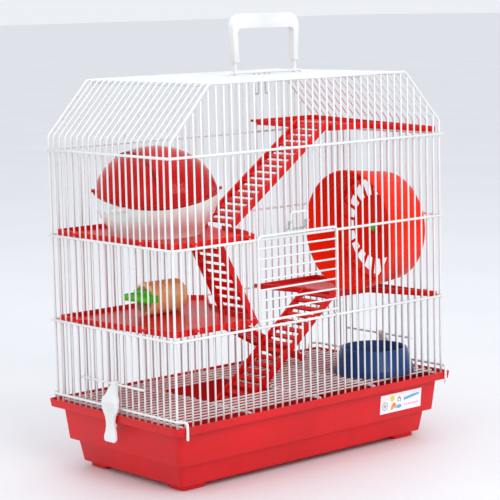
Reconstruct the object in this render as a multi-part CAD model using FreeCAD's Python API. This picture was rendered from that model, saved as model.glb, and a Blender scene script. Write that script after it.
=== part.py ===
import FreeCAD, Part
import math
import os

# Hamster cage: a wirework cage on a plastic tray, with shelves, ladders, wheel, house and bowl.
# Units are millimetres. X runs along the cage, -Y is the door side, Z is up.
# The origin is on the floor, under the middle of the cage.

V = FreeCAD.Vector
X_AXIS = V(1, 0, 0)
Y_AXIS = V(0, 1, 0)
Z_AXIS = V(0, 0, 1)

# ---- driving dimensions ----
PITCH = 11.0                       # spacing of the cage bars
LENGTH_PITCHES = 38
DEPTH_PITCHES = 20
LENGTH = PITCH * LENGTH_PITCHES
DEPTH = PITCH * DEPTH_PITCHES
HX = LENGTH / 2
HY = DEPTH / 2
BAR_R = 1.1                        # upright bars
BELT_R = 1.5                       # horizontal belts, outline, hold-down and door wires
WELD_GAP = 0.05                    # crossing wires stay this far apart
BELT_OUT = BAR_R + BELT_R + WELD_GAP
OUTLINE_IN = BELT_R - BAR_R + WELD_GAP

BAR_FOOT_Z = 77.0                  # bars stand on the tray's ledge
BELT_Z = (173.7, 272.3, 371.0)     # lower, middle and upper belt
SHOULDER_Z = 387.0
ROOF_Z = 447.6
ROOF_INSET = 57.7
HOLD_Z = 87.0
HOLD_LEG_Z = 67.0
HOLD_LEG_X = 204.0

TRAY_HX = 217.0                    # outside of the tray's rim
TRAY_HY = 119.5
TRAY_CORNER_R = 7.0
RIM_TOP_Z = 80.5
RIM_BOTTOM_Z = 71.5
LEDGE_TOP_Z = 77.0
LEDGE_THICK = 2.5
TRAY_WALL = 2.4
UPPER_INSET = 11.8                 # insets are measured in from the rim's outside
STEP_INSET = 15.6
STEP_Z = 35.5
LOWER_INSET = 23.0
BOTTOM_INSET = 27.0
TRAY_BOTTOM_Z = 7.0
FOOT_INSET = 34.0
FOOT_X = 33.0
FOOT_Y = 29.0

GRILLE_WIRE_R = 1.0
GRILLE_CROSS_R = 1.4
GRILLE_CROSS_Z = LEDGE_TOP_Z + GRILLE_CROSS_R
GRILLE_WIRE_Z = GRILLE_CROSS_Z + GRILLE_CROSS_R + GRILLE_WIRE_R + WELD_GAP
GRILLE_TOP_Z = GRILLE_WIRE_Z + GRILLE_WIRE_R
GRILLE_HX = 203.0
GRILLE_HY = 108.2
HATCH_X = (-101.0, 6.0)           # opening in the grille for the lowest ladder
HATCH_Y = (-38.0, 50.0)
GRILLE_CROSS_X = (-200.0, HATCH_X[0], HATCH_X[1], 95.0, 200.0)

DOOR_FIRST_BAR = 11                # the door covers the bars between these two
DOOR_LAST_BAR = 22
DOOR_SHIFT = -4.0                  # the frame hangs a little left of the bars
DOOR_TOP_Z = 276.4
DOOR_Y = -HY - BAR_R - 2 * BELT_R - BELT_R - 0.3
DOOR_FOOT_Z = 181.5
DOOR_BAR_PITCH = 11.6
DOOR_BARS_COUNT = 7
EYE_HALF = 2.2
EYE_WALL = 1.0
HINGE_CLEAR = 0.08

LATCH_X = (-42.0, -17.0)
LATCH_TOP_Z = 299.0
LATCH_WIRE_R = 1.1
SPRING_WIRE_R = 0.9
SPRING_Z = 280.0
SLEEVE_Z = 288.0

SHELF_DECK = 2.0
SHELF_RIM = 7.0
SHELF_WALL = 2.0
PLAN_CORNER_R = 4.0
TIP_Y = -100.0                     # the right shelves end in a sharp tip in front of this
WALL_CLEAR = 2.5                   # shelf edge to the plane of the bars
LOWER_LEFT_Z = 174.5               # undersides of the shelves
UPPER_LEFT_Z = 272.0
MID_RIGHT_Z = 171.6
TOP_RIGHT_Z = 376.5
LOWER_LEFT_TILT = -1.5             # degrees about X; the front hangs a little higher
TOP_RIGHT_TILT = 2.0
TAB_WIDTH = 6.4
TAB_THICK = 2.6
TAB_OUT = 4.2
UPPER_GATE = ((-62.0, -30.0), (-25.0, 31.0))      # gap in the upper left rim for the upper ladder
LEFT_NOTCH = ((-62.5, -40.0), (-62.6, -7.4))      # notch in the lower left shelf for the left ladder

LADDER_WIDTH = 54.0
LADDER_RAIL = 3.2
LADDER_DEPTH = 7.5
RUNG_PITCH = 11.8
RUNG_WIDTH = 5.4
RUNG_THICK = 3.0
LIP = 2.2
UPPER_LADDER = ((-48.5, 277.9), (108.0, 387.6))   # (x, z) of foot and head on the centre line
LEFT_LADDER = ((-49.0, 166.5), (-103.0, 268.0))
LOWER_LADDER = ((-24.0, 166.5), (121.0, 87.5))
HATCH_LADDER = ((-33.0, 60.0), (115.0, 179.0))
UPPER_LADDER_Y = -24.0                            # low-Y side of each ladder
LEFT_LADDER_Y = -62.0
LOWER_LADDER_Y = 40.0
HATCH_LADDER_Y = -22.0
UPPER_LIP_X = (102.0, 126.0)
HATCH_LIP_X = (110.0, 126.0)

WHEEL_Y = -25.5                    # between two bars of the right end
WHEEL_Z = 254.0
WHEEL_MOUTH_X = 134.5
WHEEL_END_X = 200.5
WHEEL_MOUTH_R = 74.0
WHEEL_END_R = 67.5
WHEEL_SKIN = 2.0
WHEEL_DISC_X = 187.0
WHEEL_SLOTS = 20
SLOT_IN_R = 40.0
SLOT_OUT_R = 63.0
SLOT_BRIDGE = 3.2
HUB_R = 8.0
AXLE_R = 2.0
RUNNING = 0.05

HOUSE_X = -136.0
HOUSE_Y = 7.0
HOUSE_RX = 66.0
HOUSE_RY = 76.0
HOUSE_BASE_R = 50.0
HOUSE_RIM_Z = 318.0
HOUSE_TOP_Z = 375.0
HOUSE_SKIN = 2.0
SEAM_DIP = 9.0
SEAM_RISE = 5.0
ENTRY_R = 17.0
CATCH_X = (-206.2, -196.0)
CATCH_Y = (-19.0, 11.0)
CATCH_Z = (308.0, 312.5)
CATCH_DROOP = 8.0                  # degrees below level
HOUSE_TURN = -41.0                 # the seam and the entrance are turned towards the back right
OVAL_POINTS = 24

BOWL_X = 147.0
BOWL_Y = -55.0
BOWL_BASE_R = 49.0
BOWL_RIM_R = 40.4
BOWL_HEIGHT = 31.0
BOWL_WALL = 2.6
BOWL_FLOOR = 5.0

LOG_R = 19.5
LOG_X = (-134.0, -79.0)
LOG_END_R = 4.0
LOG_Y = 40.0

CLIP_BAR_Z = 114.0
CLIP_BAR_HALF = 58.0
CLIP_WIRE_R = 1.3
CLIP_BAR_X = HX + BAR_R + CLIP_WIRE_R + WELD_GAP
CLIP_Y = -5.5                      # midway between two bars
CLIP_EYE_HALF = 4.0
CLIP_TAIL_Z = 50.0
CLIP_WALL = 2.6
CLIP_OUT_X = TRAY_HX + 1.2         # inner face of the clip's body
CLIP_RIB_Z = (87.0, 90.5, 94.0)
CLIP_RIB_R = 0.8
CLIP_RIB_HALF = 11.5

HANDLE_X = (-25.0, 80.0)
HANDLE_TOP_Z = 520.0
HANDLE_BAR = 17.0
HANDLE_LEG = 8.0
HANDLE_DEPTH = 9.0
HANDLE_OUTER_R = 15.0
HANDLE_INNER_R = 6.0
LEG_TAPER = 2.5
LEG_FOOT_Z = 464.0
PEG_WIDTH = 3.5
PEG_R = 2.4
ROD_Z = ROOF_Z + BAR_R + PEG_R + 0.3
ROD_OVER = 5.0

HOOK_X = (19.0, 36.0)
HOOK_WIRE_R = 0.9
HOOK_DROP = 22.0

LABEL_X = (106.0, 176.0)
LABEL_Z = (41.0, 64.0)
LABEL_THICK = 0.3

os.makedirs("parts", exist_ok=True)


# ---- shared builders ----
def save(name, solids):
    """Write one node; several solids go out as one compound."""
    shape = solids[0] if len(solids) == 1 else Part.makeCompound(solids)
    shape.exportStep("parts/" + name + ".step")
    print(name, len(shape.Solids), "solids", round(shape.Volume / 1000, 2), "cm3", shape.isValid())


def box(x, y, z):
    """Box from three (low, high) pairs."""
    return Part.makeBox(x[1] - x[0], y[1] - y[0], z[1] - z[0], V(x[0], y[0], z[0]))


def rod(start, end, radius):
    a = V(*start)
    b = V(*end)
    return Part.makeCylinder(radius, (b - a).Length, a, b - a)


def bent_wire(points, radius, bend):
    """Round wire through the points, with an arc of radius bend at each inner point."""
    pts = [V(*p) for p in points]
    edges = []
    last = pts[0]
    for before, at, after in zip(pts, pts[1:], pts[2:]):
        into = (at - before).normalize()
        out = (after - at).normalize()
        turn = into.getAngle(out)
        reach = bend * math.tan(turn / 2)
        first = at - into * reach
        second = at + out * reach
        middle = at + (out - into).normalize() * bend * (1 / math.cos(turn / 2) - 1)
        edges.append(Part.LineSegment(last, first).toShape())
        edges.append(Part.Arc(first, middle, second).toShape())
        last = second
    edges.append(Part.LineSegment(last, pts[-1]).toShape())
    path = Part.Wire(edges)
    profile = Part.Wire(Part.makeCircle(radius, pts[0], pts[1] - pts[0]))
    return path.makePipeShell([profile], True, True)


def polyline_rods(points, radius):
    """Straight rods along a polyline that meet at its corners without overlapping."""
    pts = [V(*p) for p in points]
    rods = []
    for i in range(len(pts) - 1):
        a = pts[i]
        b = pts[i + 1]
        along = (b - a).normalize()
        if i > 0:
            a = a + along * radius * math.tan(along.getAngle(pts[i] - pts[i - 1]) / 2)
        if i < len(pts) - 2:
            b = b - along * radius * math.tan(along.getAngle(pts[i + 2] - pts[i + 1]) / 2)
        rods.append(Part.makeCylinder(radius, (b - a).Length, a, along))
    return rods


def rounded_rect(hx, hy, r, z):
    """Closed wire: a rectangle with rounded corners, centred on the Z axis."""
    edges = []
    corners = ((hx - r, hy - r, 0), (-hx + r, hy - r, 90), (-hx + r, -hy + r, 180), (hx - r, -hy + r, 270))
    ends = []
    for cx, cy, start in corners:
        on_arc = []
        for turn in (0, 45, 90):
            angle = math.radians(start + turn)
            on_arc.append(V(cx + r * math.cos(angle), cy + r * math.sin(angle), z))
        ends.append(on_arc)
    for i, (a, m, b) in enumerate(ends):
        edges.append(Part.Arc(a, m, b).toShape())
        edges.append(Part.LineSegment(b, ends[(i + 1) % 4][0]).toShape())
    return Part.Wire(edges)


def frustum(inset_low, z_low, inset_high, z_high, wall=0.0):
    """Tapered block of the tray between two levels, inset from the rim's outside."""
    low = inset_low + wall
    high = inset_high + wall
    wires = [rounded_rect(TRAY_HX - low, TRAY_HY - low, TRAY_CORNER_R - wall / 2, z_low),
             rounded_rect(TRAY_HX - high, TRAY_HY - high, TRAY_CORNER_R - wall / 2, z_high)]
    return Part.makeLoft(wires, True, True)


def fuse(shapes):
    return shapes[0].multiFuse(shapes[1:]).removeSplitter()


def prism(points, z_low, z_high):
    """Upright prism over a plan outline."""
    ring = [V(x, y, z_low) for x, y in points]
    face = Part.Face(Part.makePolygon(ring + [ring[0]]))
    return face.extrude(V(0, 0, z_high - z_low))


def revolved(profile, axis_at, axis):
    """Solid of revolution of a closed profile of (x, y, z) points."""
    pts = [V(*p) for p in profile]
    face = Part.Face(Part.makePolygon(pts + [pts[0]]))
    return face.revolve(V(*axis_at), axis, 360)


def bar_x(i):
    return -HX + PITCH * i


def bar_y(j):
    return -HY + PITCH * j


def bar_top(x):
    """Height at which an upright bar of a long panel meets the outline wire."""
    inward = HX - abs(x)
    rise = (ROOF_Z - SHOULDER_Z) / ROOF_INSET
    slope_top = SHOULDER_Z + rise * inward - BELT_R * math.hypot(1, rise) - BAR_R * rise
    return min(ROOF_Z - BELT_R, slope_top) - 4 * WELD_GAP


# ---- wirework ----
def panel_bars(y, door_bars):
    """Upright bars of the front or back panel; bars behind the door stop at the belts."""
    bars = []
    for i in range(1, LENGTH_PITCHES):
        x = bar_x(i)
        top = bar_top(x)
        if i in door_bars:
            bars.append(rod((x, y, BAR_FOOT_Z), (x, y, BELT_Z[0] + BELT_R), BAR_R))
            bars.append(rod((x, y, BELT_Z[1] - BELT_R), (x, y, top), BAR_R))
        else:
            bars.append(rod((x, y, BAR_FOOT_Z), (x, y, top), BAR_R))
    return bars


def panel_outline(side):
    """Thicker outline wire of the front (-1) or back (+1) panel."""
    x = HX - OUTLINE_IN
    y = side * (HY - OUTLINE_IN)
    roof_x = HX - ROOF_INSET
    path = ((-x, y, BAR_FOOT_Z), (-x, y, SHOULDER_Z), (-roof_x, y, ROOF_Z), (roof_x, y, ROOF_Z),
            (x, y, SHOULDER_Z), (x, y, BAR_FOOT_Z))
    return polyline_rods(path, BELT_R)


def end_wrap():
    """Bars bent over the cage, sorted into ends, slopes and roof."""
    groups = {"left_end_bars": [], "left_slope_bars": [], "roof_bars": [],
              "right_slope_bars": [], "right_end_bars": []}
    for j in range(1, DEPTH_PITCHES):
        y = bar_y(j)
        roof_x = HX - ROOF_INSET
        path = ((-HX, y, BAR_FOOT_Z), (-HX, y, SHOULDER_Z), (-roof_x, y, ROOF_Z), (roof_x, y, ROOF_Z),
                (HX, y, SHOULDER_Z), (HX, y, BAR_FOOT_Z))
        for name, piece in zip(groups, polyline_rods(path, BAR_R)):
            groups[name].append(piece)
    return groups


def long_belts(side):
    y = side * (HY + BELT_OUT)
    reach = HX + 3.3
    return [rod((-reach, y, z), (reach, y, z), BELT_R) for z in BELT_Z]


def end_belts(side):
    x = side * (HX + BELT_OUT)
    reach = HY + BELT_OUT - BELT_R - 0.1
    return [rod((x, -reach, z), (x, reach, z), BELT_R) for z in BELT_Z]


def roof_cross_wires():
    """Wires under the roof bars that carry the handle rod."""
    reach = HY - OUTLINE_IN - BELT_R - 0.1
    z = ROOF_Z - BAR_R - BELT_R - WELD_GAP
    places = (-(HX - ROOF_INSET) + 6, HANDLE_X[0] + 3, HANDLE_X[1] - 3, HX - ROOF_INSET - 6)
    return [rod((x, -reach, z), (x, reach, z), BELT_R) for x in places]


def hold_down(side):
    """Wire across one end, bent down over the tray's rim at the front and the back."""
    x = side * (HX + BELT_OUT)
    leg_x = side * HOLD_LEG_X
    leg_y = TRAY_HY + BELT_R + 0.2
    turn_y = HY + 2.0
    path = ((leg_x, -leg_y, HOLD_LEG_Z), (leg_x, -leg_y, HOLD_Z), (x, -turn_y, HOLD_Z),
            (x, turn_y, HOLD_Z), (leg_x, leg_y, HOLD_Z), (leg_x, leg_y, HOLD_LEG_Z))
    return polyline_rods(path, BELT_R)


# ---- tray, grille, label ----
def tray():
    top_cut = RIM_TOP_Z + 5
    outer = fuse([frustum(BOTTOM_INSET, TRAY_BOTTOM_Z, LOWER_INSET, STEP_Z - TRAY_WALL),
                  frustum(LOWER_INSET, STEP_Z - TRAY_WALL, LOWER_INSET, STEP_Z),
                  frustum(STEP_INSET, STEP_Z - TRAY_WALL, UPPER_INSET, RIM_BOTTOM_Z),
                  frustum(UPPER_INSET, RIM_BOTTOM_Z, UPPER_INSET, LEDGE_TOP_Z),
                  frustum(1.2, LEDGE_TOP_Z - LEDGE_THICK, 1.2, LEDGE_TOP_Z),
                  frustum(1.2, RIM_BOTTOM_Z, 0, RIM_TOP_Z)])
    well = fuse([frustum(BOTTOM_INSET, TRAY_BOTTOM_Z + TRAY_WALL, LOWER_INSET, STEP_Z, TRAY_WALL),
                 frustum(STEP_INSET, STEP_Z, UPPER_INSET, RIM_BOTTOM_Z, TRAY_WALL),
                 frustum(UPPER_INSET, RIM_BOTTOM_Z, UPPER_INSET, top_cut, TRAY_WALL)])
    channel = frustum(0, LEDGE_TOP_Z, 0, top_cut, 2.2)
    under = frustum(1.2, RIM_BOTTOM_Z - 1, 1.2, LEDGE_TOP_Z - LEDGE_THICK, 2.2)
    core = frustum(UPPER_INSET, RIM_BOTTOM_Z - 2, UPPER_INSET, LEDGE_TOP_Z)
    return outer.cut(under.cut(core)).cut(channel).cut(well)


def feet():
    feet_list = []
    x_out = TRAY_HX - FOOT_INSET
    y_out = TRAY_HY - FOOT_INSET
    for sx in (-1, 1):
        for sy in (-1, 1):
            xs = sorted((sx * x_out, sx * (x_out - FOOT_X)))
            ys = sorted((sy * y_out, sy * (y_out - FOOT_Y)))
            block = box(xs, ys, (0, TRAY_BOTTOM_Z))
            upright = [e for e in block.Edges if abs(e.tangentAt(e.FirstParameter).z) > 0.9]
            feet_list.append(block.makeFillet(4.0, upright))
    return feet_list


def grille_wires():
    """Fine wires along the cage; those over the hatch are in two pieces."""
    wires = []
    for j in range(1, DEPTH_PITCHES):
        y = bar_y(j)
        if HATCH_Y[0] < y < HATCH_Y[1]:
            spans = ((-GRILLE_HX, HATCH_X[0]), (HATCH_X[1], GRILLE_HX))
        else:
            spans = ((-GRILLE_HX, GRILLE_HX),)
        for x0, x1 in spans:
            wires.append(rod((x0, y, GRILLE_WIRE_Z), (x1, y, GRILLE_WIRE_Z), GRILLE_WIRE_R))
    return wires


def grille_cross_wires():
    return [rod((x, -GRILLE_HY, GRILLE_CROSS_Z), (x, GRILLE_HY, GRILLE_CROSS_Z), GRILLE_CROSS_R)
            for x in GRILLE_CROSS_X]


def tray_face_y(z):
    """Outside of the tray's upper front wall at a height."""
    foot_z = STEP_Z - TRAY_WALL
    share = (z - foot_z) / (RIM_BOTTOM_Z - foot_z)
    return -TRAY_HY + STEP_INSET + (UPPER_INSET - STEP_INSET) * share


def label():
    low = V(0, tray_face_y(LABEL_Z[0]), LABEL_Z[0])
    high = V(0, tray_face_y(LABEL_Z[1]), LABEL_Z[1])
    ring = [V(LABEL_X[0], low.y, low.z), V(LABEL_X[1], low.y, low.z),
            V(LABEL_X[1], high.y, high.z), V(LABEL_X[0], high.y, high.z)]
    normal = X_AXIS.cross(high - low).normalize()
    face = Part.Face(Part.makePolygon(ring + [ring[0]]))
    return face.extrude(normal * LABEL_THICK)


# ---- door and latch ----
def door_frame():
    """Arched frame with a foot rail; two eyes below the rail turn on the lower belt."""
    x0 = bar_x(DOOR_FIRST_BAR) + DOOR_SHIFT
    x1 = bar_x(DOOR_LAST_BAR) + DOOR_SHIFT
    arch = bent_wire(((x0, DOOR_Y, DOOR_FOOT_Z), (x0, DOOR_Y, DOOR_TOP_Z), (x1, DOOR_Y, DOOR_TOP_Z),
                      (x1, DOOR_Y, DOOR_FOOT_Z)), BELT_R, 5.0)
    foot_rail = rod((x0, DOOR_Y, DOOR_FOOT_Z), (x1, DOOR_Y, DOOR_FOOT_Z), BELT_R)
    axis_y = -HY - BELT_OUT
    hinge_z = BELT_Z[0]
    bore_r = BELT_R + HINGE_CLEAR
    eyes = []
    for x in (x0, x1):
        eye = rod((x - EYE_HALF, axis_y, hinge_z), (x + EYE_HALF, axis_y, hinge_z), bore_r + EYE_WALL)
        neck = box((x - EYE_HALF, x + EYE_HALF), (DOOR_Y - EYE_WALL, DOOR_Y + EYE_WALL), (hinge_z, DOOR_FOOT_Z))
        bore = rod((x - PITCH, axis_y, hinge_z), (x + PITCH, axis_y, hinge_z), bore_r)
        eyes.append(eye.fuse(neck).cut(bore))
    return fuse([arch, foot_rail] + eyes)


def door_bars():
    x0 = bar_x(DOOR_FIRST_BAR) + DOOR_SHIFT + BELT_R
    x1 = bar_x(DOOR_LAST_BAR) + DOOR_SHIFT - BELT_R
    bars = []
    for i in range(1, DOOR_BARS_COUNT + 1):
        z = DOOR_FOOT_Z + DOOR_BAR_PITCH * i
        bars.append(rod((x0, DOOR_Y, z), (x1, DOOR_Y, z), BAR_R))
    return bars


def latch():
    """Inverted-U wire that slides up the bars to free the door."""
    y = DOOR_Y
    hook_z = DOOR_TOP_Z + BELT_R + 0.6
    return bent_wire(((LATCH_X[0], y, hook_z), (LATCH_X[0], y, LATCH_TOP_Z),
                      (LATCH_X[1], y, LATCH_TOP_Z), (LATCH_X[1], y, hook_z)), LATCH_WIRE_R, 4.0)


def latch_guides():
    """Zinc spring wire: two eyes round the latch's legs and the wire that joins them to the bars."""
    y = -HY - BAR_R - SPRING_WIRE_R - WELD_GAP
    pieces = [rod((LATCH_X[0] - 3, y, SPRING_Z), (LATCH_X[1] + 3, y, SPRING_Z), SPRING_WIRE_R)]
    bores = []
    for x in LATCH_X:
        sleeve_low = (x, DOOR_Y, SLEEVE_Z - SPRING_WIRE_R)
        sleeve_high = (x, DOOR_Y, SLEEVE_Z + SPRING_WIRE_R)
        pieces.append(rod(sleeve_low, sleeve_high, LATCH_WIRE_R + HINGE_CLEAR + EYE_WALL))
        pieces.append(rod((x, y, SPRING_Z), (x, y, SLEEVE_Z + SPRING_WIRE_R), SPRING_WIRE_R))
        pieces.append(rod((x, y, SLEEVE_Z), (x, DOOR_Y, SLEEVE_Z), SPRING_WIRE_R * 0.9))
        bores.append(rod((x, DOOR_Y, SPRING_Z), (x, DOOR_Y, LATCH_TOP_Z), LATCH_WIRE_R + HINGE_CLEAR))
    return fuse(pieces).cut(Part.makeCompound(bores))


# ---- shelves ----
def left_shelf_plan():
    wall_x = -HX + WALL_CLEAR
    wall_y = HY - WALL_CLEAR
    return ((wall_x, -wall_y), (-89.0, -wall_y), (-73.0, -72.0), (-62.0, -25.0), (-43.0, 27.0),
            (1.0, 84.0), (-12.0, wall_y), (wall_x, wall_y))


def right_shelf_plan():
    wall_x = HX - WALL_CLEAR
    wall_y = HY - WALL_CLEAR
    return ((wall_x, wall_y), (105.0, wall_y), (121.0, 40.0), (121.0, -12.0), (176.0, -18.0),
            (wall_x, -wall_y + 2))


def shelf(plan, z, tabs, tilt, gate=None, gate_z=SHELF_DECK):
    """Shelf with a raised rim and clip tabs between the bars; gate is an (x, y) gap from gate_z up."""
    block = prism(plan, z, z + SHELF_RIM)
    upright = [e for e in block.Edges if abs(e.tangentAt(e.FirstParameter).z) > 0.9]
    broad = [e for e in upright if not (e.Vertexes[0].X > 0 and e.Vertexes[0].Y < TIP_Y)]
    block = block.makeFillet(PLAN_CORNER_R, broad)
    outline = Part.Wire([e for e in block.Edges if abs(e.BoundBox.ZMax - z) < 0.01])
    inner_wire = outline.makeOffset2D(-SHELF_WALL, 2)
    inner = Part.Face(inner_wire).extrude(V(0, 0, SHELF_RIM + 1))
    inner.translate(V(0, 0, SHELF_DECK))
    body = block.cut(inner)
    tab_z = (z + SHELF_RIM - TAB_THICK - 0.6, z + SHELF_RIM - 0.6)
    pieces = [body]
    for x, y, direction in tabs:
        reach = WALL_CLEAR + TAB_OUT
        if direction in ("left", "right"):
            xs = (x - reach, x + 1) if direction == "left" else (x - 1, x + reach)
            pieces.append(box(xs, (y - TAB_WIDTH / 2, y + TAB_WIDTH / 2), tab_z))
        else:
            ys = (y - reach, y + 1) if direction == "front" else (y - 1, y + reach)
            pieces.append(box((x - TAB_WIDTH / 2, x + TAB_WIDTH / 2), ys, tab_z))
    whole = fuse(pieces)
    if gate:
        whole = whole.cut(box(gate[0], gate[1], (z + gate_z, z + 2 * SHELF_RIM)))
    whole.rotate(V(0, 0, z + SHELF_RIM / 2), X_AXIS, tilt)
    return whole


def left_tabs():
    wall_x = -HX + WALL_CLEAR
    wall_y = HY - WALL_CLEAR
    return ((bar_x(2.5), -wall_y, "front"), (bar_x(9.5), -wall_y, "front"),
            (bar_x(2.5), wall_y, "back"), (bar_x(14.5), wall_y, "back"),
            (wall_x, bar_y(4.5), "left"), (wall_x, bar_y(15.5), "left"))


def right_tabs():
    wall_x = HX - WALL_CLEAR
    wall_y = HY - WALL_CLEAR
    return ((bar_x(28.5), wall_y, "back"), (bar_x(35.5), wall_y, "back"),
            (wall_x, bar_y(2.5), "right"), (wall_x, bar_y(15.5), "right"))


# ---- ladders ----
def ladder(foot, head, y_low, lip):
    """Ladder from its foot to its head, both (x, z) points; lip is a (x, z) pair of spans or None."""
    run = head[0] - foot[0]
    rise = head[1] - foot[1]
    length = math.hypot(run, rise)
    pieces = []
    for y in (y_low, y_low + LADDER_WIDTH - LADDER_RAIL):
        pieces.append(box((0, length), (y, y + LADDER_RAIL), (-LADDER_DEPTH / 2, LADDER_DEPTH / 2)))
    along = RUNG_PITCH / 2
    inside = (y_low + LADDER_RAIL - 0.5, y_low + LADDER_WIDTH - LADDER_RAIL + 0.5)
    while along < length - 2:
        span = (along - RUNG_WIDTH / 2, min(along + RUNG_WIDTH / 2, length))
        pieces.append(box(span, inside, (-RUNG_THICK / 2, RUNG_THICK / 2)))
        along += RUNG_PITCH
    body = fuse(pieces)
    body.rotate(V(0, 0, 0), Y_AXIS, -math.degrees(math.atan2(rise, run)))
    body.translate(V(foot[0], 0, foot[1]))
    if lip:
        body = fuse([body, box(lip[0], (y_low, y_low + LADDER_WIDTH), lip[1])])
    return body


# ---- wheel ----
def wheel_drum():
    """Flared drum, open on the left, closed by a slotted disc; its axis is along X."""
    c = (0, WHEEL_Y, WHEEL_Z)

    def at(x, r):
        return (x, WHEEL_Y, WHEEL_Z + r)

    shell = revolved((at(WHEEL_MOUTH_X, WHEEL_MOUTH_R), at(WHEEL_END_X, WHEEL_END_R),
                      at(WHEEL_END_X, WHEEL_END_R - WHEEL_SKIN),
                      at(WHEEL_MOUTH_X, WHEEL_MOUTH_R - WHEEL_SKIN)), c, X_AXIS)
    disc = rod((WHEEL_DISC_X - WHEEL_SKIN, WHEEL_Y, WHEEL_Z), (WHEEL_DISC_X, WHEEL_Y, WHEEL_Z),
               WHEEL_END_R - WHEEL_SKIN / 4)
    hub = rod((WHEEL_DISC_X - 6, WHEEL_Y, WHEEL_Z), (WHEEL_END_X, WHEEL_Y, WHEEL_Z), HUB_R)
    corners = []
    for r, sides in ((SLOT_IN_R, (-1, 1)), (SLOT_OUT_R, (1, -1))):
        half = math.pi * r / WHEEL_SLOTS - SLOT_BRIDGE / 2
        corners += [V(WHEEL_DISC_X - 2 * WHEEL_SKIN, WHEEL_Y + side * half, WHEEL_Z + r) for side in sides]
    slot = Part.Face(Part.makePolygon(corners + [corners[0]])).extrude(V(3 * WHEEL_SKIN, 0, 0))
    cutters = []
    for i in range(WHEEL_SLOTS):
        cutter = slot.copy()
        cutter.rotate(V(*c), X_AXIS, 360.0 * i / WHEEL_SLOTS)
        cutters.append(cutter)
    disc = disc.cut(Part.makeCompound(cutters))
    bore = rod((WHEEL_DISC_X - 9, WHEEL_Y, WHEEL_Z), (WHEEL_END_X + 1, WHEEL_Y, WHEEL_Z), AXLE_R + RUNNING)
    return fuse([shell, disc, hub]).cut(bore)


def hub_cap():
    """Cap pressed into the hub's nose, turning with the wheel over the end of the axle."""
    nose = WHEEL_DISC_X - 6
    return revolved(((nose - 5, WHEEL_Y, WHEEL_Z), (nose, WHEEL_Y, WHEEL_Z), (nose, WHEEL_Y, WHEEL_Z + 5.5),
                     (nose - 3, WHEEL_Y, WHEEL_Z + 4.8), (nose - 5, WHEEL_Y, WHEEL_Z + 2.8)),
                    (0, WHEEL_Y, WHEEL_Z), X_AXIS)


def wheel_axle():
    """Pin from the hub out through the bars of the right end."""
    shaft = rod((WHEEL_DISC_X - 5, WHEEL_Y, WHEEL_Z), (HX + 6.5, WHEEL_Y, WHEEL_Z), AXLE_R)
    collar = rod((WHEEL_END_X + 0.4, WHEEL_Y, WHEEL_Z), (HX - BAR_R - 4.2, WHEEL_Y, WHEEL_Z), 4.5)
    return shaft.fuse(collar)


def wheel_plate(x0, x1, half_y, half_z):
    plate = box((x0, x1), (WHEEL_Y - half_y, WHEEL_Y + half_y), (WHEEL_Z - half_z, WHEEL_Z + half_z))
    hole = rod((x0 - 1, WHEEL_Y, WHEEL_Z), (x1 + 1, WHEEL_Y, WHEEL_Z), AXLE_R)
    return plate.cut(hole)


# ---- furniture ----
def oval_solid(levels):
    """Smooth oval body through (half-length, half-width, height) levels round the house's axis."""
    wires = []
    for rx, ry, z in levels:
        points = []
        for i in range(OVAL_POINTS):
            turn = 2 * math.pi * i / OVAL_POINTS
            points.append(V(HOUSE_X + rx * math.cos(turn), HOUSE_Y + ry * math.sin(turn), z))
        curve = Part.BSplineCurve()
        curve.interpolate(points, PeriodicFlag=True)
        wires.append(Part.Wire(curve.toShape()))
    return Part.makeLoft(wires, True, False)


def house_body(skin):
    """Whole closed house, drawn in by skin all round."""
    low = UPPER_LEFT_Z + SHELF_DECK + WELD_GAP + skin
    r = HOUSE_BASE_R - skin
    rx = HOUSE_RX - skin
    ry = HOUSE_RY - skin
    height = HOUSE_TOP_Z - skin - HOUSE_RIM_Z
    levels = [(r, r, low), ((r + rx) / 2, (r + ry) / 2, low + (HOUSE_RIM_Z - low) * 0.35)]
    for turn in (0, 20, 40, 60, 75, 85):
        angle = math.radians(turn)
        across = math.cos(angle)
        levels.append((rx * across, ry * across, HOUSE_RIM_Z + height * math.sin(angle)))
    return oval_solid(levels)


def house_split(drop):
    """Everything above the seam between base and lid; the seam dips at the front and the back."""
    z = HOUSE_RIM_Z - drop
    ends = HOUSE_RX + 10
    left = V(HOUSE_X - ends, HOUSE_Y - 100, z + SEAM_RISE)
    middle = V(HOUSE_X, HOUSE_Y - 100, z - SEAM_DIP)
    right = V(HOUSE_X + ends, HOUSE_Y - 100, z + SEAM_RISE)
    top_right = right + V(0, 0, 100)
    top_left = left + V(0, 0, 100)
    seam = Part.Wire([Part.Arc(left, middle, right).toShape(), Part.LineSegment(right, top_right).toShape(),
                      Part.LineSegment(top_right, top_left).toShape(),
                      Part.LineSegment(top_left, left).toShape()])
    above = Part.Face(seam).extrude(V(0, 200, 0))
    above.rotate(V(HOUSE_X, HOUSE_Y, 0), Z_AXIS, HOUSE_TURN)
    return above


def house_base():
    shell = house_body(0).cut(house_body(HOUSE_SKIN)).cut(house_split(WELD_GAP))
    deck = UPPER_LEFT_Z + SHELF_DECK
    entry = rod((HOUSE_X, HOUSE_Y, deck + ENTRY_R + 5), (HOUSE_X, HOUSE_Y + 120, deck + ENTRY_R + 5), ENTRY_R)
    entry.rotate(V(HOUSE_X, HOUSE_Y, 0), Z_AXIS, HOUSE_TURN)
    return shell.cut(entry)


def house_lid():
    return house_body(0).cut(house_body(HOUSE_SKIN)).common(house_split(0))


def house_catch():
    """Small white lever along the left of the house, under the lid's rim; its far end droops."""
    lever = box(CATCH_X, CATCH_Y, CATCH_Z)
    lever.rotate(V(CATCH_X[0], CATCH_Y[0], CATCH_Z[0]), X_AXIS, -CATCH_DROOP)
    return lever.cut(house_body(-WELD_GAP))


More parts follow.
